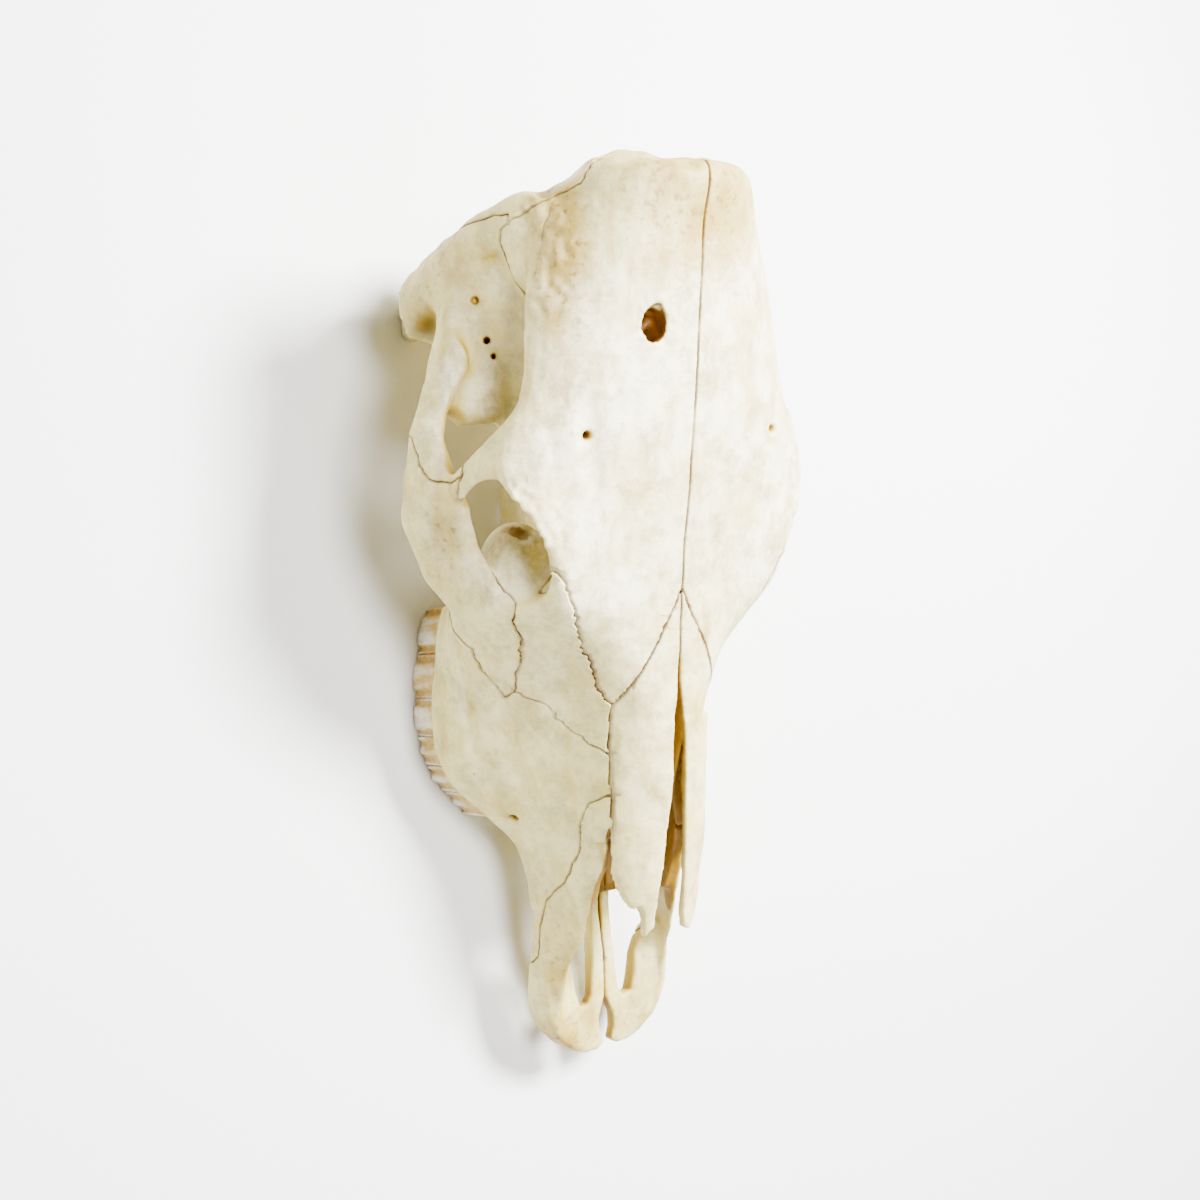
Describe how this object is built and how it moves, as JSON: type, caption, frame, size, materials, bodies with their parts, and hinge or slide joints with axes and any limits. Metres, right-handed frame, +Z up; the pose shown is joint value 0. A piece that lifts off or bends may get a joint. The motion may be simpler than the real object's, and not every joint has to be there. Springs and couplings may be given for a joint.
{
  "type": "cow skull",
  "caption": "Weathered skull of a hornless cow without its lower jaw, its bones parted along their sutures, resting on its cheek teeth and the processes beside the condyles.",
  "frame": {"origin": "on the resting level, under the middle of the skull's length, on its midline", "axes": "+Z up, +Y from the muzzle toward the poll, +X toward the animal's left"},
  "size_m": [0.2331, 0.4718, 0.2133],
  "materials": {
    "bone": "dry, matte to satin bone"
  },
  "bodies": {
    "root": {"frontal_left": "bone", "frontal_right": "bone", "nasal_left": "bone", "nasal_right": "bone", "lacrimal_left": "bone", "lacrimal_right": "bone", "zygomatic_left": "bone", "zygomatic_right": "bone", "maxilla_left": "bone", "maxilla_right": "bone", "premaxilla_left": "bone", "premaxilla_right": "bone", "temporal_left": "bone", "temporal_right": "bone", "occipital": "bone", "skull_base": "bone"}
  },
  "joints": []
}
